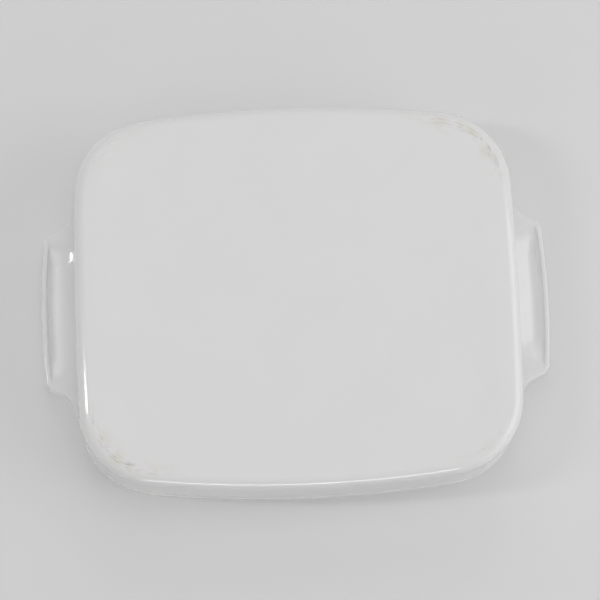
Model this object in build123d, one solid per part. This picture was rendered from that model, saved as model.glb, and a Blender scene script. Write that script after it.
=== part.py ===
from build123d import *
import os
from math import atan2, cos, degrees, hypot, radians, sin, sqrt, tan

# A white pressed lasagna dish with a handle at each end. Lengths are in millimetres.
# It stands upright: +Z is up, the handles lie along X, and the origin is the middle of the base,
# on the surface that the dish stands on.

# Overall size. The rim's sizes are outside ones, before its edge is rounded.
height = 57.0
rim_length = 301.5  # from one short side to the other
rim_width = 263.0  # from one long side to the other

# Plan shape of the rim's outside: each side is a flat arc, and an arc rounds each corner
corner_radius = 55.0
long_side_radius = 830.0
short_side_radius = 2000.0

# Floor and wall
draft = 4.0  # the wall's lean from upright, in degrees
wall_thickness = 5.5
floor_thickness = 6.0
outer_edge_radius = 8.0  # rounding between the wall and the underside
inner_edge_radius = 9.0  # rounding between the wall and the inside floor
foot_width = 9.0  # the ring of the underside that the dish stands on
foot_relief = 0.5  # how far the underside lies above that ring

# Rim
rim_height = 8.0
rim_overhang = 0.8  # how far the rim stands out from the wall
rim_outer_round_share = 0.5  # roundings of the rim's top, as shares of its thickness
rim_inner_round_share = 0.36
rim_under_round_share = 0.6  # rounding under the rim, as a share of its overhang

# Handles
handle_reach = 22.9  # how far a handle stands out from the rim, before its edge is rounded
handle_length = 104.0  # along its outer edge, corner to corner
handle_bow_radius = 530.0  # the outer edge is a flat arc
handle_end_slant = 25.0  # how far each end spreads towards the rim, in degrees
handle_root_slant = 27.0  # the angle at which each end runs out into the rim, in degrees
handle_draft = 10.0  # the lean of the handle's sides from upright, in degrees
handle_drop = 2.8  # the handle's top lies this far under the top of the rim
handle_thickness = 5.0
lip_depth = 11.0  # from the handle's top to the bottom of its turned-down lip
lip_thickness = 2.8  # at its bottom edge
handle_corner_radius = 8.0
handle_root_reach = 5.5  # how far out from the rim each end turns to run out into it
handle_root_radius = 14.0
handle_top_round_share = 0.6  # rounding of the handle's top edge, as a share of its thickness
lip_round_share = 0.4  # rounding of the lip's bottom edge, as a share of its thickness
finger_length = 96.0  # the hollow under the handle, where the fingers go, at its opening
finger_slope = 14.0  # how far out from the wall the hollow reaches its full depth
finger_end_run = 16.0  # how far each end of the hollow slopes over its height
finger_draft = 12.0  # the lean of the lip's inner side, in degrees
finger_round_share = 0.42  # rounding at the top of the hollow, as a share of its depth

# Every cutting solid passes this far beyond what it cuts
overrun = 2.0

lean = tan(radians(draft))
rim_thickness = wall_thickness + rim_overhang
rim_underside = height - rim_height
handle_top = height - handle_drop
lip_bottom = handle_top - lip_depth
finger_top = handle_top - handle_thickness

# The centres in plan of the arcs of the +X side and the +Y side
side_x = rim_length / 2 - short_side_radius
side_y = rim_width / 2 - long_side_radius


def corner_place():
    """In the plan's +X +Y quarter: the centre of the corner's arc, and its two ends as angles."""
    to_side_x = short_side_radius - corner_radius
    to_side_y = long_side_radius - corner_radius
    # The corner's centre lies at those distances from the centres of the two sides' arcs
    apart = hypot(side_x, side_y)
    along = (to_side_x**2 - to_side_y**2 + apart**2) / (2 * apart)
    across = sqrt(to_side_x**2 - along**2)
    corner_x = side_x - side_x / apart * along - side_y / apart * across
    corner_y = side_y / apart * along - side_x / apart * across
    short_end = degrees(atan2(corner_y, corner_x - side_x))
    long_end = degrees(atan2(corner_y - side_y, corner_x))
    return corner_x, corner_y, short_end, long_end


def plan_face(inset, level):
    """The rim's outside in plan, drawn in by an inset, as a flat face at a level."""
    corner_x, corner_y, short_end, long_end = corner_place()
    turn = long_end - short_end
    radius = corner_radius - inset
    edges = [
        CenterArc((side_x, 0), short_side_radius - inset, -short_end, 2 * short_end),
        CenterArc((corner_x, corner_y), radius, short_end, turn),
        CenterArc((0, side_y), long_side_radius - inset, long_end, 180 - 2 * long_end),
        CenterArc((-corner_x, corner_y), radius, 180 - long_end, turn),
        CenterArc((-side_x, 0), short_side_radius - inset, 180 - short_end, 2 * short_end),
        CenterArc((-corner_x, -corner_y), radius, 180 + short_end, turn),
        CenterArc((0, -side_y), long_side_radius - inset, 180 + long_end, 180 - 2 * long_end),
        CenterArc((corner_x, -corner_y), radius, -long_end, turn),
    ]
    return Pos(0, 0, level) * make_face(edges)


def leaning_block(inset, bottom, top):
    """A solid with the wall's lean. Its inset is that of its outline at the top."""
    face = plan_face(inset + (top - bottom) * lean, bottom)
    return extrude(face, amount=top - bottom, taper=-draft)


def outer_block():
    """The dish without its hollow and its rim's overhang."""
    block = leaning_block(rim_overhang, 0, height)
    return fillet(block.edges().group_by(Axis.Z)[0], outer_edge_radius)


def rim_block():
    """The rim with its overhang, still filled, rounded above and below."""
    block = leaning_block(0, rim_underside, height)
    block = fillet(block.edges().group_by(Axis.Z)[-1], rim_thickness * rim_outer_round_share)
    return fillet(block.edges().group_by(Axis.Z)[0], rim_overhang * rim_under_round_share)


def hollow_block():
    """The inside of the dish, rounded where the wall meets the floor."""
    block = leaning_block(rim_thickness, floor_thickness, height)
    return fillet(block.edges().group_by(Axis.Z)[0], inner_edge_radius)


def slab(bottom, top):
    """All of the space between two levels, wider than the dish."""
    side = rim_length + rim_width
    return Pos(0, 0, (bottom + top) / 2) * Box(side, side, top - bottom)


def make_base():
    """The floor of the dish with the lower part of its rounded edge and the ring it stands on."""
    base = outer_block() & slab(0, floor_thickness)
    flat_inset = rim_overhang + height * lean + outer_edge_radius * tan(radians(45 - draft / 2))
    relief = extrude(plan_face(flat_inset + foot_width, 0), amount=foot_relief)
    return base - relief


def make_wall():
    """The wall between the floor and the rim, all the way round."""
    return (outer_block() - hollow_block()) & slab(floor_thickness, rim_underside)


def side_zones():
    """The space round the +X side and that round the -Y side, parted through the corner's middle."""
    corner_x, corner_y, short_end, long_end = corner_place()
    middle = radians((short_end + long_end) / 2)
    far_x = corner_x + rim_length * cos(middle)
    far_y = corner_y + rim_length * sin(middle)
    right = [(corner_x, corner_y), (corner_x, -corner_y), (far_x, -far_y), (far_x, far_y)]
    front = [(corner_x, -corner_y), (-corner_x, -corner_y), (-far_x, -far_y), (far_x, -far_y)]
    return [
        extrude(make_face(Polyline(*points, close=True)), amount=height)
        for points in (right, front)
    ]


def make_rim():
    """The rim that runs round the top of the wall."""
    rim = rim_block() - hollow_block()
    top_edges = rim.faces().sort_by(Axis.Z)[-1].inner_wires()[0].edges()
    return fillet(top_edges, rim_thickness * rim_inner_round_share)


def handle_plan():
    """The outline of the handle's top, on the +X side. Its inner end lies inside the dish."""
    rim_x = rim_length / 2
    outer_x = rim_x + handle_reach
    inner_x = rim_x - rim_thickness - overrun
    half_outer = handle_length / 2
    corner_x = outer_x - handle_bow_radius + sqrt(handle_bow_radius**2 - half_outer**2)
    root_x = rim_x + handle_root_reach
    half_root = half_outer + (corner_x - root_x) * tan(radians(handle_end_slant))
    half_inner = half_root + (root_x - inner_x) / tan(radians(handle_root_slant))
    points = [(corner_x, half_outer), (root_x, half_root), (inner_x, half_inner)]
    mirrored = [(x, -y) for x, y in reversed(points)]
    sides = Polyline(*points, *mirrored)
    bow = ThreePointArc((corner_x, -half_outer), (outer_x, 0), (corner_x, half_outer))
    sketch = make_face([*sides.edges(), bow])
    sketch = fillet(sketch.vertices().group_by(Axis.X)[-1], handle_corner_radius)
    return fillet(sketch.vertices().group_by(Axis.X)[1], handle_root_radius)


def outside_edges(edges):
    """All but the innermost edge, which lies inside the dish."""
    return edges.sort_by(Axis.X)[1:]


def inside_of_lip():
    """All that lies inward of the lip's inner side, which follows the handle's outer edge."""
    drop = handle_top - lip_bottom
    lip_radius = handle_bow_radius - drop * tan(radians(handle_draft)) - lip_thickness
    centre_x = rim_length / 2 + handle_reach - handle_bow_radius
    spread = overrun * tan(radians(finger_draft))
    circle = Pos(centre_x, 0, lip_bottom - overrun) * Circle(lip_radius + spread)
    return extrude(circle, amount=drop, taper=finger_draft)


def finger_hollow():
    """The hollow between the wall and the lip, open downward, on the +X side."""
    outer_x = rim_length / 2 + handle_reach
    depth = finger_top - lip_bottom
    wall_x = rim_length / 2 - rim_overhang - (height - lip_bottom) * lean
    low = lip_bottom - overrun
    half_top = finger_length / 2 - finger_end_run
    half_low = half_top + (finger_top - low) * finger_end_run / depth
    section = Plane.XZ * make_face(
        Polyline(
            (wall_x - overrun, low),
            (wall_x - overrun, lip_bottom),
            (wall_x + finger_slope, finger_top),
            (outer_x, finger_top),
            (outer_x, low),
            close=True,
        )
    )
    ends = Plane.YZ * make_face(
        Polyline(
            (-half_low, low),
            (-half_top, finger_top),
            (half_top, finger_top),
            (half_low, low),
            close=True,
        )
    )
    hollow = extrude(section, amount=half_low, both=True) & extrude(ends, amount=outer_x)
    hollow = hollow & inside_of_lip()
    return fillet(hollow.edges().group_by(Axis.Z)[-1], depth * finger_round_share)


def make_handle():
    """The handle on the -X side: a flat tab with a turned-down lip along its edge."""
    top_plan = Pos(0, 0, handle_top) * handle_plan()
    block = extrude(top_plan, amount=lip_depth, dir=(0, 0, -1), taper=handle_draft)
    top_edges = outside_edges(block.edges().group_by(Axis.Z)[-1])
    block = fillet(top_edges, handle_thickness * handle_top_round_share)
    bottom_edges = outside_edges(block.edges().group_by(Axis.Z)[0])
    block = fillet(bottom_edges, lip_thickness * lip_round_share)
    return turned(block - finger_hollow()) - outer_block() - rim_block()


def turned(shape):
    """A copy of a shape, turned half round to the other end of the dish."""
    return Rot(0, 0, 180) * shape


wall = make_wall()
right_zone, front_zone = side_zones()
front_wall = wall & front_zone
right_wall = wall & right_zone
left_handle = make_handle()
parts = {
    "base": make_base(),
    "front_wall": front_wall,
    "back_wall": turned(front_wall),
    "left_wall": turned(right_wall),
    "right_wall": right_wall,
    "rim": make_rim(),
    "left_handle": left_handle,
    "right_handle": turned(left_handle),
}

os.makedirs("parts", exist_ok=True)
for name, part in parts.items():
    export_step(part, f"parts/{name}.step")
    size = part.bounding_box().size
    print(f"{name}: {len(part.solids())} solid, {size.X:.1f} x {size.Y:.1f} x {size.Z:.1f} mm")
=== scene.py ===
"""A white pressed lasagna dish, dressed as one seamless glossy piece of glass-ceramic.

The dish stands upright in this frame, in metres, with +Z up. In the photograph it lies bottom up and
is seen from above, so here the camera looks up at it from below, and the surface that the photograph
shows behind it is a plane across the rim. That plane is seen from below only. The floor under the
dish is seen from above only, so each view of the dish has its own pale surface and shadow.
"""
import math
from collections import namedtuple

import bmesh
import bpy
import numpy as np
from mathutils import Matrix, Vector


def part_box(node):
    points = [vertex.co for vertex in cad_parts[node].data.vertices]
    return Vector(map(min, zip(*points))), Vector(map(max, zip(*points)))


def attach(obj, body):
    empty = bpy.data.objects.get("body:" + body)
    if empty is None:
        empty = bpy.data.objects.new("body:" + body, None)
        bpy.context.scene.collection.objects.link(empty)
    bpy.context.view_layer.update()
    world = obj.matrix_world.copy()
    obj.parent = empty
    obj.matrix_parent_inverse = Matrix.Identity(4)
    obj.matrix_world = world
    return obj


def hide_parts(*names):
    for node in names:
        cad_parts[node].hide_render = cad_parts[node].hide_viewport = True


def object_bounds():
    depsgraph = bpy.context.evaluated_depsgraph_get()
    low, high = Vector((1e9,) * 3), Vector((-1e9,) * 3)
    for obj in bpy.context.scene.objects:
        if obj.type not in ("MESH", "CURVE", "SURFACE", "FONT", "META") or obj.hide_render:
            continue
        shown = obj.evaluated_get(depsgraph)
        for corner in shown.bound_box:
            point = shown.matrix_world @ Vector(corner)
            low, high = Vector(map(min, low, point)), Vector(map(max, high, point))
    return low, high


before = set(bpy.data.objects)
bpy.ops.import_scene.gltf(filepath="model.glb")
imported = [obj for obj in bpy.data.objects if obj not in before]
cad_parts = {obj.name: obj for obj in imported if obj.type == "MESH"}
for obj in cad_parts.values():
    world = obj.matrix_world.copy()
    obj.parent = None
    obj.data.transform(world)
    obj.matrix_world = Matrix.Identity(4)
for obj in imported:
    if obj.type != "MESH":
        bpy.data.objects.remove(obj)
cad_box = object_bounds()

# Plan shape of the rim's outside: each side is a flat arc, and an arc rounds each corner
corner_radius = 0.055
long_side_radius = 0.830
short_side_radius = 2.000

# Wall and floor
draft = math.radians(4)  # the wall's lean from upright
wall_thickness = 0.0055
floor_level = 0.006
outer_edge_radius = 0.008
inner_edge_radius = 0.009
foot_width = 0.009
foot_fade = 0.014  # how gently the underside rises inside the ring that the dish stands on
foot_relief = 0.0005

# Rim
rim_height = 0.008
rim_overhang = 0.0008
rim_outer_round = 0.00315
rim_inner_round = 0.00227
rim_under_round = 0.00048
rim_wall_round = 0.0003  # where the wall meets the rim's underside

# Handles
handle_length = 0.104
handle_bow_radius = 0.530
handle_end_slant = math.radians(25)
handle_root_slant = math.radians(27)
handle_draft = math.radians(10)
handle_drop = 0.0028
handle_corner_radius = 0.008
handle_root_radius = 0.014
handle_root_reach = 0.0055  # how far out from the rim each end turns to run out into it
handle_top_round = 0.003
handle_reach = 0.0229
lip_depth = 0.011
lip_thickness = 0.0028
lip_outer_round = 0.0011
lip_inner_round = 0.0009
finger_depth = 0.006
finger_length = 0.096
finger_end_run = 0.016
finger_end_softness = 0.22  # the rounding at both ends of that run, as a share of it
finger_slope = 0.014
finger_draft = math.radians(12)
finger_round = 0.0025
finger_wall_round = 0.001  # where the hollow leaves the wall

# Where the handle's top meets the rim
join_slope = math.radians(25)  # of the rim's rounding there, from upright
join_width = 0.0022  # the most that the soft corner takes of the handle's top
join_corner = 0.0002  # how far outside the rim's surface the soft corner is drawn to
join_least_span = 0.0006  # the soft corner takes half of the top, and the top counts as this at least

# A column's section turns from the rim's own to the handle's over this run of the handle's reach
blend_start = 0.0005
blend_run = 0.0055

# In the rim's own section: how far under the handle's top the rings of the handle's side end
side_end_drop = 0.0018

# Points of the mesh along each part of the outline, in the plan's +X +Y quarter
bow_points = 26
handle_corner_points = 11
handle_end_points = 5
handle_root_points = 10
run_out_points = 13
short_side_points = 13
corner_points = 33
long_side_points = 37

# Rings of the mesh across each part of the section, in their order from the underside's middle
under_rings = 9
relief_rings = 7
foot_rings = 2
outer_edge_rings = 13
wall_rings = 7
lip_rings = 7
handle_side_rings = 5
handle_edge_rings = 8
handle_top_rings = 4
join_rings = 5
rim_top_rings = 7
rim_inner_rings = 8
inside_wall_rings = 8
inner_edge_rings = 11
floor_rings = 8

arc_steps = 6  # points on each rounded corner of the sections under the handle and the rim
below_lip = 0.001  # the handle's rings begin this far below its lip
same_place = 0.00002  # points nearer than this are one

height = cad_box[1].z
lean = math.tan(draft)
rim_thickness = wall_thickness + rim_overhang
rim_underside = height - rim_height
handle_top = height - handle_drop
lip_bottom = handle_top - lip_depth

# A rounded edge starts this far from where its two faces would meet: at the rim's outer and inner
# edges, the handle's top edge and the lip's outer edge
rim_run = rim_outer_round / math.tan(math.pi / 4 - draft / 2)
rim_inner_run = rim_inner_round / math.tan(math.pi / 4 + draft / 2)
handle_run = handle_top_round / math.tan(math.pi / 4 - handle_draft / 2)
lip_run = lip_outer_round / math.tan(math.pi / 4 + handle_draft / 2)

# How far the flat that the dish stands on lies in from the rim's outline
flat_inset = rim_overhang + height * lean + outer_edge_radius * math.tan(math.pi / 4 - draft / 2)

# How far the middle of the rounding at the lip's bottom lies in from the handle's outline
lip_inset = (handle_top - lip_bottom) * math.tan(handle_draft) + lip_run

# The outline before rounding, from the frame's boxes, which end where the rounded edges are widest
rim_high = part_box("rim")[1]
half_length = rim_high.x + rim_run - rim_outer_round
half_width = rim_high.y + rim_run - rim_outer_round
side_x = half_length - short_side_radius
side_y = half_width - long_side_radius

# For each column of the mesh: a point of the rim's outline and the direction outward there, a point
# of the handle's outline with its own direction outward, and how far it reaches beyond the rim.
# Where there is no handle, its outline is the rim's.
Columns = namedtuple("Columns", "rim out edge edge_out reach")


def smooth(value):
    """Zero below 0, one above 1, and a smooth step between."""
    value = np.clip(value, 0, 1)
    return value * value * (3 - 2 * value)


def steps_to(start, end, count):
    """Even steps that end at an end and leave out the start."""
    return np.linspace(start, end, count + 1)[1:]


def steps_between(start, end, count):
    """Even steps that leave out both ends."""
    return np.linspace(start, end, count + 2)[1:-1]


def unit(angle):
    """Unit vectors in plan at one or more angles."""
    return np.stack([np.cos(angle), np.sin(angle)], axis=-1)


def corner_place():
    """In the plan's +X +Y quarter: the centre of the corner's arc, and its two ends as angles."""
    to_side_x = short_side_radius - corner_radius
    to_side_y = long_side_radius - corner_radius
    apart = math.hypot(side_x, side_y)
    along = (to_side_x**2 - to_side_y**2 + apart**2) / (2 * apart)
    across = math.sqrt(to_side_x**2 - along**2)
    corner_x = side_x - side_x / apart * along - side_y / apart * across
    corner_y = side_y / apart * along - side_x / apart * across
    short_end = math.atan2(corner_y, corner_x - side_x)
    long_end = math.atan2(corner_y - side_y, corner_x)
    return np.array([corner_x, corner_y]), short_end, long_end


def handle_outline():
    """Half of the handle's outline, from its middle to the rim: points, and directions outward."""
    outer_x = half_length + handle_reach
    bow_centre = np.array([outer_x - handle_bow_radius, 0])
    half_outer = handle_length / 2
    corner = bow_centre + [math.sqrt(handle_bow_radius**2 - half_outer**2), half_outer]
    end_angle = math.pi / 2 - handle_end_slant
    end_out = unit(end_angle)
    end_along = np.array([-end_out[1], end_out[0]])
    # The corner's arc touches the bow and the end from inside
    reach = handle_bow_radius - handle_corner_radius
    foot = corner - handle_corner_radius * end_out - bow_centre
    slide = -foot @ end_along - math.sqrt((foot @ end_along) ** 2 - foot @ foot + reach**2)
    corner_centre = bow_centre + foot + slide * end_along
    bow_end = math.atan2(*(corner_centre - bow_centre)[::-1])
    # The root's arc touches the end and the line that runs out into the rim, from outside
    root_x = half_length + handle_root_reach
    half_root = half_outer + (corner[0] - root_x) * math.tan(handle_end_slant)
    root_point = np.array([root_x, half_root])
    root_out = unit(handle_root_slant)
    root_along = np.array([-root_out[1], root_out[0]])
    root_centre = np.linalg.solve(
        [end_out, root_out],
        [corner @ end_out + handle_root_radius, root_point @ root_out + handle_root_radius],
    )
    # The line is long enough to end inside the rim
    run_out_length = 2.4 * handle_root_reach / math.sin(handle_root_slant)
    bow = np.linspace(0, bow_end, bow_points)
    turn = steps_to(bow_end, end_angle, handle_corner_points)
    straight = steps_between(0, 1, handle_end_points)[:, None]
    root = np.linspace(end_angle, handle_root_slant, handle_root_points)
    run_out = steps_to(0, run_out_length, run_out_points)[:, None]
    line_start = corner_centre + handle_corner_radius * end_out
    line_end = root_centre - handle_root_radius * end_out
    points = np.concatenate([
        bow_centre + handle_bow_radius * unit(bow),
        corner_centre + handle_corner_radius * unit(turn),
        line_start + (line_end - line_start) * straight,
        root_centre - handle_root_radius * unit(root),
        root_centre - handle_root_radius * root_out + run_out * root_along,
    ])
    outward = np.concatenate([
        unit(bow),
        unit(turn),
        np.tile(end_out, (len(straight), 1)),
        unit(root),
        np.tile(root_out, (len(run_out), 1)),
    ])
    return points, outward


def quarter_columns():
    """The columns round the plan's +X +Y quarter."""
    handle_edge, handle_out = handle_outline()
    from_centre = handle_edge - [side_x, 0]
    handle_beyond = np.linalg.norm(from_centre, axis=1) - short_side_radius
    on_handle = handle_beyond > rim_outer_round - rim_run
    grip = np.count_nonzero(on_handle)
    handle_angles = np.arctan2(handle_edge[on_handle, 1], handle_edge[on_handle, 0] - side_x)
    corner, short_end, long_end = corner_place()
    side_angles = steps_to(handle_angles[-1], short_end, short_side_points)
    corner_angles = steps_to(short_end, long_end, corner_points)
    long_angles = steps_to(long_end, math.pi / 2, long_side_points)
    short_angles = np.concatenate([handle_angles, side_angles])
    rim = np.concatenate([
        [side_x, 0] + short_side_radius * unit(short_angles),
        corner + corner_radius * unit(corner_angles),
        [0, side_y] + long_side_radius * unit(long_angles),
    ])
    out = unit(np.concatenate([short_angles, corner_angles, long_angles]))
    edge = rim.copy()
    edge_out = out.copy()
    reach = np.zeros(len(rim))
    edge[:grip] = handle_edge[on_handle]
    edge_out[:grip] = handle_out[on_handle]
    reach[:grip] = handle_beyond[on_handle]
    return Columns(rim, out, edge, edge_out, reach)


def all_columns():
    """The columns of the whole plan, counter-clockwise from the middle of the +X handle."""
    quarter = quarter_columns()

    def round_plan(points):
        half = np.concatenate([points, points[-2::-1] * [-1, 1]])
        return np.concatenate([half, half[-2:0:-1] * [1, -1]])

    half = np.concatenate([quarter.reach, quarter.reach[-2::-1]])
    reach = np.concatenate([half, half[-2:0:-1]])
    rim = round_plan(quarter.rim)
    out = round_plan(quarter.out)
    edge = round_plan(quarter.edge)
    edge_out = round_plan(quarter.edge_out)
    return Columns(rim, out, edge, edge_out, reach)


def rounded_path(points, radii, counts):
    """A path through points with its inner corners rounded. Its counts are points per straight run."""
    least_turn = 1e-6
    flat_run_share = 0.3  # the run at a corner that doesn't turn, as a share of its radius
    points = [np.array(p, float) for p in points]
    path = []
    start = points[0]
    for before, here, after, radius, count in zip(points, points[1:], points[2:], radii, counts):
        away = (before - here) / np.linalg.norm(before - here)
        onward = (after - here) / np.linalg.norm(after - here)
        half_turn = (math.pi - math.acos(np.clip(away @ onward, -1, 1))) / 2
        run = radius * (math.tan(half_turn) if half_turn > least_turn else flat_run_share)
        first = here + away * run
        last = here + onward * run
        path += [start + (first - start) * share for share in np.arange(count) / count]
        for share in np.arange(arc_steps) / arc_steps:
            path.append((1 - share) ** 2 * first + 2 * share * (1 - share) * here + share**2 * last)
        start = last
    path += [start + (points[-1] - start) * share for share in np.linspace(0, 1, counts[-1])]
    return np.array(path)


def wall_inset(level):
    """How far the wall's outside lies in from the rim's outline at a level."""
    return rim_overhang + (height - level) * lean


def inside_inset(level):
    """How far the wall's inside lies in from the rim's outline at a level."""
    return rim_thickness + (height - level) * lean


def rim_round_place(slope):
    """Inset and level on the rim's rounded outer edge, by its slope from upright."""
    inset = rim_run - rim_outer_round * math.cos(slope)
    return inset, height - rim_outer_round + rim_outer_round * math.sin(slope)


def rim_side_inset(level):
    """How far the rim's own side lies in from its outline at a level, with its rounded edge."""
    above_centre = level - height + rim_outer_round
    if above_centre > -rim_outer_round * math.sin(draft):
        return rim_round_place(math.asin(above_centre / rim_outer_round))[0]
    return (height - level) * lean


def ring(plan, level):
    """The points of a ring: its place in plan at each column, all at one level."""
    return np.column_stack([plan, np.full(len(plan), level)])


def edge_ring(columns, inset, level):
    """A ring at an inset from the handle's outline, or from the rim's where there is no handle."""
    return ring(columns.edge - inset * columns.edge_out, level)


def rim_ring(columns, inset, level):
    """A ring at an inset from the rim's outline."""
    return ring(columns.rim - inset * columns.out, level)


def hollow_shares(columns):
    """How deep the finger hollow is at each column, as a share of its full depth."""
    soft = finger_end_softness
    ramp = (finger_length / 2 - np.abs(columns.edge[:, 1])) / finger_end_run
    first_bend = np.clip(ramp + soft, 0, None) ** 2 / (4 * soft)
    last_bend = 1 - np.clip(1 + soft - ramp, 0, None) ** 2 / (4 * soft)
    shares = np.where(ramp < soft, first_bend, ramp)
    shares = np.where(ramp > 1 - soft, last_bend, shares)
    return np.clip(shares, 0, 1) * (columns.reach > 0)


def finger_section(columns):
    """The handle's underside with its hollow, from the wall to the lip's outer edge."""
    wall = columns.rim - wall_inset(lip_bottom) * columns.out
    lip_edge = columns.edge - lip_inset * columns.edge_out
    span = handle_reach + wall_inset(lip_bottom) - lip_inset
    lip_inner = span - lip_thickness + lip_run
    lip_top = lip_inner - finger_depth * math.tan(finger_draft)
    radii = (finger_wall_round, finger_round, finger_round, lip_inner_round)
    counts = (1, 2, 3, 2, 3)

    def section(depth):
        start = (-below_lip * lean, -below_lip)
        hollow = [(0, 0), (finger_slope, depth), (lip_top, depth), (lip_inner, 0)]
        return rounded_path([start, *hollow, (span, 0)], radii, counts)

    shares = hollow_shares(columns)[:, None]
    rings = []
    for deep_point, flat_point in zip(section(finger_depth), section(0)):
        place = flat_point + (deep_point - flat_point) * shares
        plan = wall + (lip_edge - wall) * (place[:, :1] / span)
        rings.append(np.column_stack([plan, lip_bottom + place[:, 1]]))
    return rings


def rim_under_section(columns, count):
    """The wall up to the rim's underside, and that underside out to the rim's or handle's outline."""
    start = lip_bottom - below_lip
    wall_place = -(rim_overhang + rim_height * lean)
    start_place = wall_place - (rim_underside - start) * lean
    side_place = -(rim_height * lean + rim_under_round)
    path = rounded_path(
        [(start_place, start), (wall_place, rim_underside), (side_place, rim_underside)],
        (rim_wall_round,),
        (count - arc_steps - 2, 2),
    )
    far = columns.edge + side_place * columns.edge_out
    widening = far - columns.rim - side_place * columns.out
    rings = []
    for place, level in path:
        share = np.clip((place - wall_place) / (side_place - wall_place), 0, 1)
        rings.append(ring(columns.rim + place * columns.out + widening * smooth(share), level))
    return rings


def handle_side_section(columns):
    """From the lip's bottom edge over the handle's outer side and top to the rim."""
    rings = []
    for turn in np.linspace(-math.pi / 2, -handle_draft, lip_rings):
        level = lip_bottom + lip_outer_round * (1 + math.sin(turn))
        rings.append(edge_ring(columns, lip_inset - lip_outer_round * math.cos(turn), level))
    low = lip_bottom + lip_outer_round * (1 - math.sin(handle_draft))
    high = handle_top - handle_top_round * (1 + math.sin(handle_draft))
    for level in steps_between(low, high, handle_side_rings):
        rings.append(edge_ring(columns, (handle_top - level) * math.tan(handle_draft), level))
    for turn in np.linspace(-handle_draft, math.pi / 2, handle_edge_rings):
        level = handle_top - handle_top_round * (1 - math.sin(turn))
        rings.append(edge_ring(columns, handle_run - handle_top_round * math.cos(turn), level))
    # The flat top, and the soft corner where it meets the rim
    top_start = columns.edge - handle_run * columns.edge_out
    inset, join_level = rim_round_place(join_slope)
    rim_point = columns.rim - inset * columns.out
    span = np.sum((top_start - rim_point) * columns.out, axis=1)[:, None]
    soft_span = np.minimum(np.maximum(span, join_least_span) / 2, join_width)
    corner = rim_point + join_corner * columns.out
    top_end = rim_point + soft_span * columns.out
    for share in steps_to(0, 1, handle_top_rings):
        rings.append(ring(top_start + (top_end - top_start) * share, handle_top))
    for share in steps_to(0, 1, join_rings):
        plan = (1 - share)**2 * top_end + 2 * share * (1 - share) * corner + share**2 * rim_point
        rings.append(ring(plan, handle_top + share**2 * (join_level - handle_top)))
    return rings


def rim_side_section(columns):
    """As many rings as handle_side_section has, evenly up the rim's side to the same last ring."""
    rings = []
    for turn in np.linspace(-math.pi / 2, -handle_draft, lip_rings):
        inset = rim_height * lean + rim_under_round * (1 - math.cos(turn))
        rings.append(edge_ring(columns, inset, rim_underside + rim_under_round * (1 + math.sin(turn))))
    side_end = handle_top - side_end_drop
    round_start = height - rim_outer_round * (1 + math.sin(draft))
    halfway = side_end + (round_start - side_end) / 2
    side_levels = steps_between(rim_underside + rim_under_round, side_end, handle_side_rings)
    for level in (*side_levels, *np.linspace(side_end, halfway, handle_edge_rings)):
        rings.append(edge_ring(columns, (height - level) * lean, level))
    join_level = rim_round_place(join_slope)[1]
    for share in steps_to(0, 1, handle_top_rings + join_rings):
        level = halfway + (join_level - halfway) * share
        near = rim_ring(columns, rim_side_inset(level), level)
        far = edge_ring(columns, rim_side_inset(level), level)
        rings.append(near + (far - near) * float(smooth(1 - share)))
    return rings


def handle_rings(columns):
    """The rings from the wall, round the handles, to the rim's rounded edge."""
    depth = smooth((columns.reach - blend_start) / blend_run)[:, None]
    under = finger_section(columns)
    deep = under + handle_side_section(columns)
    shallow = rim_under_section(columns, len(under)) + rim_side_section(columns)
    return [low + (full - low) * depth for full, low in zip(deep, shallow)]


def outside_rings(columns):
    """The rings from the middle of the underside up the wall to where the handle's rings begin."""
    rings = []
    fade_inset = flat_inset + foot_width + foot_fade
    middle = rim_ring(columns, fade_inset, foot_relief)
    for share in steps_to(0, 1, under_rings):
        rings.append(middle * [share, share, 1])
    for share in steps_to(0, 1, relief_rings):
        level = foot_relief * float(1 - smooth(share))
        rings.append(rim_ring(columns, fade_inset - foot_fade * share, level))
    for share in steps_between(0, 1, foot_rings):
        rings.append(rim_ring(columns, flat_inset + foot_width * (1 - share), 0))
    for turn in np.linspace(0, math.pi / 2 - draft, outer_edge_rings):
        inset = flat_inset - outer_edge_radius * math.sin(turn)
        rings.append(rim_ring(columns, inset, outer_edge_radius * (1 - math.cos(turn))))
    wall_low = rings[-1][0, 2]
    for level in steps_between(wall_low, lip_bottom - below_lip, wall_rings):
        rings.append(rim_ring(columns, wall_inset(level), level))
    return rings


def inside_rings(columns):
    """The rings from the rim's rounded edge over its top and down to the middle of the inside."""
    rings = []
    for slope in steps_to(join_slope, math.pi / 2, rim_top_rings):
        rings.append(rim_ring(columns, *rim_round_place(slope)))
    rim_centre = rim_thickness - rim_inner_run
    for turn in np.linspace(math.pi / 2, math.pi - draft, rim_inner_rings):
        level = height - rim_inner_round * (1 - math.sin(turn))
        rings.append(rim_ring(columns, rim_centre - rim_inner_round * math.cos(turn), level))
    wall_high = rings[-1][0, 2]
    wall_foot = floor_level + inner_edge_radius * (1 - math.sin(draft))
    for level in steps_between(wall_high, wall_foot, inside_wall_rings):
        rings.append(rim_ring(columns, inside_inset(level), level))
    edge_run = inner_edge_radius / math.tan(math.pi / 4 + draft / 2)
    edge_centre = inside_inset(floor_level) + edge_run
    for turn in np.linspace(draft, math.pi / 2, inner_edge_rings):
        level = floor_level + inner_edge_radius * (1 - math.sin(turn))
        rings.append(rim_ring(columns, edge_centre - inner_edge_radius * math.cos(turn), level))
    floor_edge = rim_ring(columns, edge_centre + foot_width, floor_level)
    rings.append(floor_edge)
    for share in steps_between(1, 0, floor_rings):
        rings.append(floor_edge * [share, share, 1])
    return rings


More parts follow.
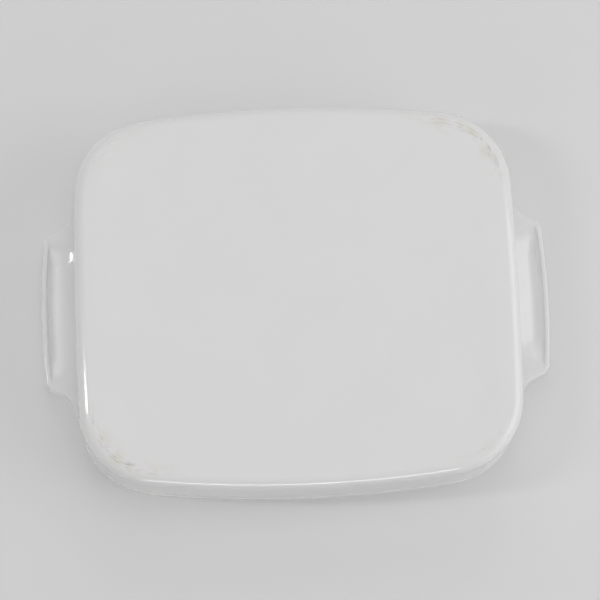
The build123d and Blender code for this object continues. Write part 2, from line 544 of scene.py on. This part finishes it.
def mark_edge(mesh, columns, ring_count):
    """Two values per point for the material: how far it lies in from the edge of the flat that the
    dish stands on, and its place along that edge. The mesh's last two points are in its middle."""
    count = len(columns.rim)
    steps = np.linalg.norm(np.roll(columns.rim, -1, axis=0) - columns.rim, axis=1)
    along = np.concatenate([np.tile(np.cumsum(steps), ring_count), [0, 0]])
    points = np.empty(len(mesh.vertices) * 3)
    mesh.vertices.foreach_get("co", points)
    plan = points.reshape(-1, 3)[:-2, :2].reshape(ring_count, count, 2)
    inward = np.sum((columns.rim - plan) * columns.out, axis=2) - flat_inset
    inward = np.concatenate([inward.ravel(), [half_width, half_width]])
    for name, values in (("from_edge", inward), ("along_edge", along)):
        mesh.attributes.new(name, "FLOAT", "POINT").data.foreach_set("value", values)


def merge_close_points(mesh):
    """Makes one point of those that lie in the same place, where two rings meet."""
    form = bmesh.new()
    form.from_mesh(mesh)
    bmesh.ops.remove_doubles(form, verts=form.verts, dist=same_place)
    form.to_mesh(mesh)
    form.free()


def make_dish(columns):
    """The whole dish as one closed mesh with smooth normals."""
    rings = outside_rings(columns) + handle_rings(columns) + inside_rings(columns)
    count = len(rings[0])
    points = np.concatenate([*rings, [[0, 0, foot_relief]], [[0, 0, floor_level]]])
    floor_pole = len(points) - 1
    under_pole = floor_pole - 1
    last = (len(rings) - 1) * count
    faces = []
    for start in range(0, last, count):
        for i in range(count):
            j = (i + 1) % count
            faces.append((start + i, start + j, start + count + j, start + count + i))
    for i in range(count):
        j = (i + 1) % count
        faces.append((under_pole, j, i))
        faces.append((floor_pole, last + i, last + j))
    mesh = bpy.data.meshes.new("dish")
    mesh.from_pydata(points.tolist(), [], faces)
    mark_edge(mesh, columns, len(rings))
    merge_close_points(mesh)
    mesh.shade_smooth()
    dish = bpy.data.objects.new("dish", mesh)
    bpy.context.scene.collection.objects.link(dish)
    return dish


def plain_material(name, color, roughness):
    """A material with a principled shader, and that shader."""
    material = bpy.data.materials.new(name)
    material.use_nodes = True
    shader = material.node_tree.nodes["Principled BSDF"]
    shader.inputs["Base Color"].default_value = color
    shader.inputs["Roughness"].default_value = roughness
    return material, shader


class Tree:
    """A material's nodes, with short ways to add and link them."""

    def __init__(self, material):
        self.nodes = material.node_tree.nodes
        self.links = material.node_tree.links

    def add(self, kind, inputs, **settings):
        """A new node. Its inputs are values, or the outputs of other nodes."""
        node = self.nodes.new(kind)
        for name, value in settings.items():
            setattr(node, name, value)
        for name, value in inputs.items():
            if isinstance(value, bpy.types.NodeSocket):
                self.links.new(value, node.inputs[name])
            else:
                node.inputs[name].default_value = value
        return node

    def object_place(self):
        """A point's place in the object's own frame, in metres."""
        return self.add("ShaderNodeTexCoord", {}).outputs["Object"]

    def attribute(self, name):
        """A value that the mesh carries at its points."""
        return self.add("ShaderNodeAttribute", {}, attribute_name=name).outputs["Fac"]

    def parts(self, vector):
        """The X, Y and Z of a vector."""
        return self.add("ShaderNodeSeparateXYZ", {"Vector": vector}).outputs

    def math(self, operation, *values):
        """The result of one operation on values."""
        inputs = dict(enumerate(values))
        return self.add("ShaderNodeMath", inputs, operation=operation).outputs[0]

    def product(self, first, *others):
        """Several values multiplied."""
        for other in others:
            first = self.math("MULTIPLY", first, other)
        return first

    def noise(self, place, scale, detail):
        """Cloudy noise from 0 to 1."""
        inputs = {"Vector": place, "Scale": scale, "Detail": detail}
        return self.add("ShaderNodeTexNoise", inputs).outputs["Fac"]

    def stretched(self, place, scales, turn=0.0):
        """A place with its axes turned about Z and scaled apart, for streaks."""
        inputs = {"Vector": place, "Rotation": (0, 0, turn), "Scale": scales}
        return self.add("ShaderNodeMapping", inputs).outputs["Vector"]

    def rise(self, value, ends):
        """Zero up to the first end, one from the second on, and a smooth step between. The second
        may be the smaller."""
        inputs = {"Value": value, "From Min": ends[0], "From Max": ends[1]}
        return self.add("ShaderNodeMapRange", inputs, interpolation_type="SMOOTHSTEP").outputs["Result"]

    def band(self, value, rise_ends, fall_ends):
        """One inside a band of values, with a smooth rise into it and a smooth fall out of it."""
        return self.product(self.rise(value, rise_ends), self.rise(value, fall_ends))

    def pattern(self, place, cloud):
        """Noise with its contrast drawn out between two ends."""
        return self.rise(self.noise(place, cloud.scale, cloud.detail), cloud.ends)

    def blend(self, share, first, second):
        """One colour turning to another by a share."""
        inputs = {0: share, 6: first, 7: second}
        return self.add("ShaderNodeMix", inputs, data_type="RGBA").outputs[2]

    def bump(self, height, distance, **others):
        """A normal that follows a height, given as a share of a distance."""
        inputs = {"Height": height, "Distance": distance, **others}
        return self.add("ShaderNodeBump", inputs).outputs["Normal"]


# Colours of the glass-ceramic and of what has marked it
white_cool = (0.752, 0.752, 0.753, 1)
white_warm = (0.764, 0.759, 0.759, 1)
# A lighter white painted into the finger hollows under the handles: painted light that lifts the shade
# in them
hollow_painted_fill_white = (0.865, 0.866, 0.866, 1)
stain_color = (0.66, 0.62, 0.50, 1)
scuff_color = (0.20, 0.17, 0.14, 1)
metal_mark_color = (0.50, 0.50, 0.51, 1)

# Noise patterns. Those with a scale of one are made on a place that is scaled already.
Cloud = namedtuple("Cloud", "scale detail ends")
white_cloud = Cloud(22, 3.0, (0.35, 0.65))
streak_cloud = Cloud(1.0, 3.0, (0.52, 0.63))
grit_cloud = Cloud(1500, 2.0, (0.25, 0.55))
stain_cloud = Cloud(95, 3.0, (0.44, 0.66))
utensil_cloud = Cloud(1.0, 1.0, (0.735, 0.80))
scuff_streak_scales = (95, 1300, 1)
utensil_streak_scales = (16, 1100, 1)
utensil_turns = (0.3, 1.15, 2.4)

# Two corners across from each other are worn much more than the other two. The corners are found by
# x times y, in square metres. Each pair here says where a share is none and where it is full.
worn_corners = (-0.0082, -0.0135)
less_worn_corners = (0.0095, 0.0140)
less_worn_share = 0.35
under_levels = (0.004, 0.002)

# How far in from the edge of the flat each kind of wear reaches, at its outer and its inner side
scuff_reach = ((-0.0030, -0.0004), (0.0042, 0.0010))
stain_reach = ((-0.006, 0.0), (0.011, 0.003))
ring_reach = ((-0.001, 0.0005), (0.0095, 0.0075))

# How much each mark covers the white
scuff_cover = 0.55
stain_cover = 0.5
speck_cover = 0.6
utensil_cover = 0.35

speck_cell_scale = 27.0
speck_cells_over = 0.80  # only cells with a higher random value have a speck
speck_size = (0.017, 0.009)  # from its edge to where it is full, in the cells' own measure

# Utensil marks start just under the level of the inside floor and end just over it
floor_levels = (
    (floor_level - 0.0005, floor_level - 0.0002),
    (floor_level + 0.002, floor_level + 0.0004),
)

# Where the finger hollows get the painted lighter white, painted light that lifts their shade. Each
# pair from none to full:
# how far out in X and how high they lie, how far they face down, and how far they face outward
hollow_reach = (0.1545, 0.1640)
hollow_level = (0.0438, 0.0462)
hollow_down = (-0.04, -0.18)
hollow_outward = (0.85, 0.60)

gloss_roughness = 0.10
least_roughness = gloss_roughness - 0.01
roughness_scale = 60
roughness_detail = 4.0
roughness_spread = 0.05
ring_dulling = 0.10
scuff_dulling = 0.35
utensil_dulling = 0.25

wave_scale = 55
wave_detail = 1.0
wave_depth = 0.00006
grain_scale = 900
grain_detail = 2.0
grain_depth = 0.000004


def standing_wear(tree, place):
    """Scuffs, stains and dulling of the ring that the dish stands on: three shares."""
    parts = tree.parts(place)
    inward = tree.attribute("from_edge")
    along = tree.attribute("along_edge")
    outline = tree.add("ShaderNodeCombineXYZ", {"X": along, "Y": inward}).outputs["Vector"]
    corner = tree.product(parts["X"], parts["Y"])
    worn = tree.rise(corner, worn_corners)
    less_worn = tree.product(tree.rise(corner, less_worn_corners), less_worn_share)
    corners = tree.math("ADD", worn, less_worn)
    under = tree.rise(parts["Z"], under_levels)
    streaks = tree.pattern(tree.stretched(outline, scuff_streak_scales), streak_cloud)
    grit = tree.pattern(place, grit_cloud)
    scuff_band = tree.product(tree.band(inward, *scuff_reach), under)
    scuffs = tree.product(streaks, grit, scuff_band, corners, scuff_cover)
    stain_band = tree.product(tree.band(inward, *stain_reach), under)
    stains = tree.product(tree.pattern(place, stain_cloud), stain_band, corners, stain_cover)
    ring_share = tree.product(tree.band(inward, *ring_reach), under)
    return scuffs, stains, ring_share


def specks(tree, place):
    """A few small dark specks, each in a cell of its own."""
    cells = tree.add("ShaderNodeTexVoronoi", {"Vector": place, "Scale": speck_cell_scale})
    drawn = tree.add("ShaderNodeSeparateColor", {"Color": cells.outputs["Color"]}).outputs[0]
    chosen = tree.math("GREATER_THAN", drawn, speck_cells_over)
    return tree.product(tree.rise(cells.outputs["Distance"], speck_size), chosen, speck_cover)


def utensil_marks(tree, place):
    """Fine marks of knives and servers on the inside floor, in three directions."""
    inside = tree.band(tree.parts(place)["Z"], *floor_levels)
    marks = 0.0
    for turn in utensil_turns:
        streaks = tree.pattern(tree.stretched(place, utensil_streak_scales, turn), utensil_cloud)
        marks = tree.math("ADD", marks, streaks)
    return tree.product(marks, inside)


def painted_fill_share(tree, place):
    """Where the painted lighter white goes, painted light that lifts the shade in the two hollows under
    the handles: one on their deep surfaces, and zero elsewhere.
    """
    parts = tree.parts(place)
    facing = tree.parts(tree.add("ShaderNodeNewGeometry", {}).outputs["Normal"])
    outward = tree.product(facing["X"], parts["X"], 1 / half_length)
    return tree.product(
        tree.rise(tree.math("ABSOLUTE", parts["X"]), hollow_reach),
        tree.rise(parts["Z"], hollow_level),
        tree.rise(facing["Z"], hollow_down),
        tree.rise(outward, hollow_outward),
    )


def ceramic_material():
    """White glass-ceramic: glossy, faintly wavy, marked where it stands and is used, and painted
    lighter in the handles' hollows to lift their shade.
    """
    material, shader = plain_material("glass_ceramic", white_cool, gloss_roughness)
    tree = Tree(material)
    place = tree.object_place()
    scuffs, stains, ring_share = standing_wear(tree, place)
    marks = utensil_marks(tree, place)
    color = tree.blend(tree.pattern(place, white_cloud), white_cool, white_warm)
    # Painted light: a lighter white in the finger hollows that lifts their shade
    color = tree.blend(painted_fill_share(tree, place), color, hollow_painted_fill_white)
    color = tree.blend(stains, color, stain_color)
    color = tree.blend(tree.product(marks, utensil_cover), color, metal_mark_color)
    color = tree.blend(specks(tree, place), color, scuff_color)
    color = tree.blend(scuffs, color, scuff_color)
    tree.links.new(color, shader.inputs["Base Color"])
    uneven = tree.noise(place, roughness_scale, roughness_detail)
    roughness = tree.math("MULTIPLY_ADD", uneven, roughness_spread, least_roughness)
    for wear, dulling in (
        (ring_share, ring_dulling),
        (scuffs, scuff_dulling),
        (marks, utensil_dulling),
    ):
        roughness = tree.math("MULTIPLY_ADD", wear, dulling, roughness)
    tree.links.new(roughness, shader.inputs["Roughness"])
    waves = tree.bump(tree.noise(place, wave_scale, wave_detail), wave_depth)
    grain = tree.bump(tree.noise(place, grain_scale, grain_detail), grain_depth, Normal=waves)
    tree.links.new(grain, shader.inputs["Normal"])
    return material


# The two surfaces that the dish is seen against
table_color = (0.715, 0.715, 0.715, 1)
floor_color = (0.62, 0.62, 0.62, 1)
floor_glow = (0.66, 0.66, 0.66, 1)
glow_distances = (0.35, 1.9)  # from the dish, where the floor's even brightness starts and is full
stage_roughness = 0.6
table_gap = 0.0002  # between the dish and each surface
table_half = 1.2
table_tuck = 0.001  # how far the table reaches in under the outline
patch_tuck = 0.004  # the same for the patch of table under each handle
patch_half = handle_length * 0.74
floor_first_radius = 0.5
floor_flat_radius = 2.0
floor_rise_radius = 1.5
floor_top = 3.0
floor_rise_steps = 12
floor_sides = 96


def one_sided(material, surface):
    """Makes a stage material's surface show on the front of its faces only."""
    tree = Tree(material)
    behind = tree.add("ShaderNodeNewGeometry", {}).outputs["Backfacing"]
    clear = tree.add("ShaderNodeBsdfTransparent", {}).outputs["BSDF"]
    mix = tree.add("ShaderNodeMixShader", {0: behind, 1: surface, 2: clear})
    tree.links.new(mix.outputs["Shader"], tree.nodes["Material Output"].inputs["Surface"])


def stage_object(name, points, faces, material):
    """A part of the stage: it shows in renders, casts no shadow and is no part of the dish."""
    mesh = bpy.data.meshes.new(name)
    mesh.from_pydata([tuple(p) for p in points], [], faces)
    mesh.materials.append(material)
    stage = bpy.data.objects.new(name, mesh)
    bpy.context.scene.collection.objects.link(stage)
    stage.visible_shadow = False
    return stage


def camera_rays_only(stage):
    """Keeps a part of the stage from lighting the dish or showing in its gloss."""
    stage.visible_diffuse = False
    stage.visible_glossy = False
    stage.visible_transmission = False


def make_table(columns):
    """The photograph's surface, across the rim and seen from below, with a hole where the dish is."""
    material, shader = plain_material("table", table_color, stage_roughness)
    one_sided(material, shader.outputs["BSDF"])
    inner = edge_ring(columns, table_tuck, height + table_gap)
    count = len(inner)
    outer = inner.copy()
    stretch = table_half / np.maximum(np.abs(inner[:, 0]), np.abs(inner[:, 1]))
    outer[:, :2] *= stretch[:, None]
    points = np.concatenate([inner, outer])
    faces = [(i, (i + 1) % count, count + (i + 1) % count, count + i) for i in range(count)]
    stage_object("table", points, faces, material)
    # The hole has the handles' outline too, and they stand a little clear of the table, so a patch
    # closes it under each
    level = height + 1.5 * table_gap
    for side, sign in (("left", -1), ("right", 1)):
        near = sign * (half_length - patch_tuck)
        far = sign * (half_length + handle_reach)
        points = [(x, y * patch_half, level) for x, y in ((near, -1), (near, 1), (far, 1), (far, -1))]
        face = (0, 1, 2, 3) if sign > 0 else (3, 2, 1, 0)
        camera_rays_only(stage_object(f"table_under_{side}_handle", points, [face], material))


def floor_material():
    """Pale and matt near the dish, where its shadow falls, and evenly bright further out."""
    material, shader = plain_material("floor", floor_color, stage_roughness)
    tree = Tree(material)
    place = tree.object_place()
    distance = tree.add("ShaderNodeVectorMath", {0: place}, operation="LENGTH").outputs["Value"]
    camera_ray = tree.add("ShaderNodeLightPath", {}).outputs["Is Camera Ray"]
    glow = tree.add("ShaderNodeEmission", {"Color": floor_glow, "Strength": camera_ray})
    inputs = {
        0: tree.rise(distance, glow_distances),
        1: shader.outputs["BSDF"],
        2: glow.outputs["Emission"],
    }
    mix = tree.add("ShaderNodeMixShader", inputs)
    one_sided(material, mix.outputs["Shader"])
    return material


def make_floor():
    """The floor under the dish, seen from above only, with a backdrop that curves up all round."""
    profile = [(floor_first_radius, 0), (floor_flat_radius, 0)]
    for angle in steps_to(0, math.pi / 2, floor_rise_steps):
        radius = floor_flat_radius + floor_rise_radius * math.sin(angle)
        profile.append((radius, floor_rise_radius * (1 - math.cos(angle))))
    profile.append((floor_flat_radius + floor_rise_radius, floor_top))
    points = [(0, 0, -table_gap)]
    for radius, level in profile:
        for angle in np.arange(floor_sides) * 2 * math.pi / floor_sides:
            points.append((radius * math.cos(angle), radius * math.sin(angle), level - table_gap))
    faces = [(0, 1 + i, 1 + (i + 1) % floor_sides) for i in range(floor_sides)]
    for step in range(len(profile) - 1):
        start = 1 + step * floor_sides
        onward = start + floor_sides
        for i in range(floor_sides):
            j = (i + 1) % floor_sides
            faces.append((start + i, onward + i, onward + j, start + j))
    floor = stage_object("floor", points, faces, floor_material())
    floor.data.shade_smooth()
    camera_rays_only(floor)


# The lamps face the dish. For each: its place as in the photograph, its width and height, its power
# in watts, whether it lights matt surfaces, and whether it shows in glossy ones.
Lamp = namedtuple("Lamp", "name place size power lights shows")
lamps = (
    Lamp("right_lamp", (1.35, -0.15, 0.75), (1.1, 1.2), 7, True, True),
    Lamp("front_right_lamp", (1.15, -0.95, 0.45), (0.6, 0.5), 1.3, True, True),
    Lamp("front_gloss_lamp", (0, -1.6, 0.2), (1.0, 0.2), 6, False, True),
    Lamp("front_lamp", (0, -1.6, 0.2), (1.0, 0.2), 1.7, True, False),
    Lamp("front_left_lamp", (-1.2, -1.2, 1.1), (1.0, 1.0), 1.7, True, False),
    Lamp("left_strip", (-0.937, 0.058, 1.08), (0.07, 0.4), 2.4, True, True),
    Lamp("back_lamp", (0.1, 1.6, 1.1), (1.2, 1.0), 4.6, True, False),
    Lamp("high_lamp", (0.1, 0.2, 1.9), (1.2, 1.2), 4.4, True, False),
    Lamp("upper_lamp", (0.1, 0.2, -1.6), (1.2, 1.2), 9, True, False),
    Lamp("upper_side_lamp", (-1.0, 1.0, -1.0), (0.9, 0.7), 5, True, True),
)
world_color = (1, 1, 1, 1)
world_strength = 0.455

# The photograph's camera, with its turn from looking straight down at the dish
camera_place = (-0.04149, -0.20259, 1.24198)
camera_pitch = math.radians(9.484)
camera_yaw = math.radians(-2.03)
camera_roll = math.radians(-2.016)
camera_lens = 110.12
camera_sensor = 36


def photo_place(x, y, z):
    """A place given as in the photograph, with the dish bottom up on a surface, in this frame."""
    return Vector((x, -y, height - z))


def make_lights():
    """The lamps, and an even light from all round."""
    middle = Vector((0, 0, height / 2))
    for row in lamps:
        light = bpy.data.lights.new(row.name, "AREA")
        light.shape = "RECTANGLE"
        light.size = row.size[0]
        light.size_y = row.size[1]
        light.energy = row.power
        lamp = bpy.data.objects.new(row.name, light)
        bpy.context.scene.collection.objects.link(lamp)
        lamp.location = photo_place(*row.place)
        lamp.rotation_mode = "QUATERNION"
        lamp.rotation_quaternion = (middle - lamp.location).to_track_quat("-Z", "Y")
        lamp.visible_diffuse = row.lights
        lamp.visible_glossy = row.shows
    world = bpy.data.worlds.new("world")
    bpy.context.scene.world = world
    world.use_nodes = True
    background = world.node_tree.nodes["Background"]
    background.inputs["Color"].default_value = world_color
    background.inputs["Strength"].default_value = world_strength


def make_camera():
    """The photograph's camera, below the dish in this frame."""
    camera = bpy.data.cameras.new("camera")
    camera.lens = camera_lens
    camera.sensor_width = camera_sensor
    viewer = bpy.data.objects.new("camera", camera)
    bpy.context.scene.collection.objects.link(viewer)
    turn = Matrix.Rotation(math.pi, 4, "X") @ Matrix.Rotation(camera_pitch, 4, "X")
    turn = turn @ Matrix.Rotation(camera_yaw, 4, "Y") @ Matrix.Rotation(camera_roll, 4, "Z")
    viewer.matrix_world = Matrix.Translation(photo_place(*camera_place)) @ turn
    bpy.context.scene.camera = viewer


plan_columns = all_columns()
dish = make_dish(plan_columns)
dish.data.materials.append(ceramic_material())
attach(dish, "root")
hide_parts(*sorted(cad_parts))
make_table(plan_columns)
make_floor()
make_lights()
make_camera()
bpy.context.scene.view_settings.view_transform = "Standard"
